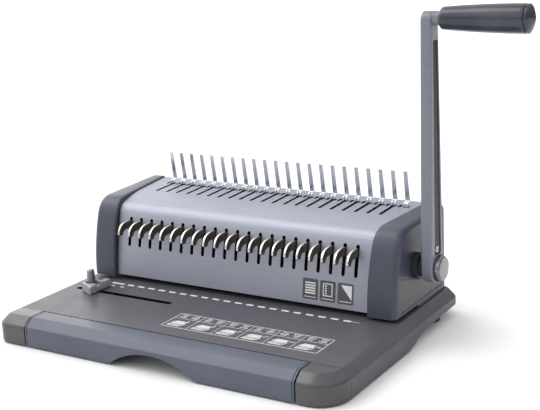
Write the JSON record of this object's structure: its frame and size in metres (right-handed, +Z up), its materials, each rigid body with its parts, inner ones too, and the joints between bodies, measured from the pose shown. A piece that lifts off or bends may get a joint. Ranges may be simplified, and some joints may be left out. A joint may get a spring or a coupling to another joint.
{
  "type": "comb binding machine",
  "caption": "Manual comb binding machine: flat base with chip drawer, silver punch housing with slots, hooks and upright fingers, end caps and a side lever with a round grip.",
  "frame": {"origin": "on the surface the machine stands on, under the middle of its overall box", "axes": "+X along the row of punches towards the lever, +Y to the back, +Z up"},
  "size_m": [0.5126, 0.2822, 0.3339],
  "materials": {
    "base_grey": "fine satin dark grey paint",
    "corner_grey": "satin moulded plastic",
    "slate_plastic": "satin slate blue-grey plastic",
    "cap_plastic": "semi-gloss dark blue-grey plastic",
    "side_panel_grey": "satin warm grey paint",
    "silver_sheet": "silver metallic lacquer with a fine brushed grain",
    "nickel": "bright nickel plating",
    "zinc_sheet": "zinc-plated sheet steel",
    "steel": "machined steel",
    "bush_bronze": "sintered bronze",
    "screw_steel": "bright steel",
    "rubber": "black rubber",
    "tray_plastic": "matt moulded plastic",
    "lever_paint": "smooth grey paint",
    "dark_plastic": "dark satin plastic",
    "hub_face": "light grey plastic",
    "grip_plastic": "polished dark plastic",
    "guide_grey": "grey painted die casting"
  },
  "bodies": {
    "frame": {"base_shell": "base_grey", "corner_block_left": "corner_grey", "corner_block_right": "corner_grey", "end_cap_left": "cap_plastic", "end_cap_right": "cap_plastic", "rear_cover": "cap_plastic", "side_panel_left": "side_panel_grey", "side_panel_right": "side_panel_grey", "body_cover": "silver_sheet", "comb_plate": "nickel", "bottom_plate": "zinc_sheet", "side_plate_left": "zinc_sheet", "side_plate_right": "zinc_sheet", "lower_die": "steel", "punch_guide": "steel", "paper_stop": "steel", "guide_pin_left": "steel", "guide_pin_right": "steel", "rear_tie_bar": "steel", "shaft_bush_left": "bush_bronze", "shaft_bush_right": "bush_bronze", "punch_spring_left": "screw_steel", "punch_spring_right": "screw_steel", "rear_screw_1": "screw_steel", "rear_screw_2": "screw_steel", "rear_screw_3": "screw_steel", "rear_screw_4": "screw_steel", "foot_front_left": "rubber", "foot_front_right": "rubber", "foot_rear_left": "rubber", "foot_rear_right": "rubber"},
    "drawer": {"chip_drawer": "tray_plastic", "drawer_front": "slate_plastic", "drawer_screw_left": "screw_steel", "drawer_screw_right": "screw_steel"},
    "lever": {"main_shaft": "steel", "shaft_collar": "steel", "punch_cam_left": "steel", "punch_cam_right": "steel", "scroll_cam_left": "steel", "scroll_cam_right": "steel", "hub_spacer": "dark_plastic", "lever_arm": "lever_paint", "lever_insert": "dark_plastic", "lever_screw": "screw_steel", "hub_boss": "lever_paint", "hub_cap": "hub_face", "grip_axle": "steel"},
    "grip": {"grip_sleeve": "grip_plastic", "grip_end_cap": "grip_plastic"},
    "punch": {"punch_strip": "steel", "pressure_bar": "steel"},
    "hooks": {"hook_bar": "nickel"},
    "guide": {"guide_block": "guide_grey", "guide_clamp": "guide_grey"},
    "knob": {"guide_knob": "nickel"}
  },
  "joints": [
    {"name": "lever_swing", "type": "hinge", "parent": "frame", "child": "lever", "pos_m": [0.1493, 0.05575, 0.0755], "axis": [1, 0, 0], "range_deg": [0, 85], "stiffness_Nm_per_rad": 0.8, "springref_deg": -20.05},
    {"name": "grip_spin", "type": "hinge", "parent": "lever", "child": "grip", "pos_m": [0.1663, 0.05205, 0.3203], "axis": [1, 0, 0], "continuous": true},
    {"name": "punch_stroke", "type": "slide", "parent": "frame", "child": "punch", "axis": [0, 0, -1], "range_m": [0, 0.00701], "deforming": ["punch_spring_left", "punch_spring_right"]},
    {"name": "hook_stroke", "type": "slide", "parent": "frame", "child": "hooks", "axis": [0, -0.2331, -0.9724], "range_m": [0, 0.01851]},
    {"name": "drawer_slide", "type": "slide", "parent": "frame", "child": "drawer", "axis": [0, -1, 0], "range_m": [0, 0.13]},
    {"name": "guide_slide", "type": "slide", "parent": "frame", "child": "guide", "axis": [1, 0, 0], "range_m": [-0.018, 0.105]},
    {"name": "knob_turn", "type": "hinge", "parent": "guide", "child": "knob", "pos_m": [-0.2142, -0.03525, 0.042], "axis": [0, 0, 1], "range_deg": [0, 270]}
  ],
  "couplings": [
    {"joint": "punch_stroke", "follows": "lever_swing", "m_per_rad": 0.0047185},
    {"joint": "hook_stroke", "follows": "lever_swing", "m_per_rad": 0.01247}
  ]
}
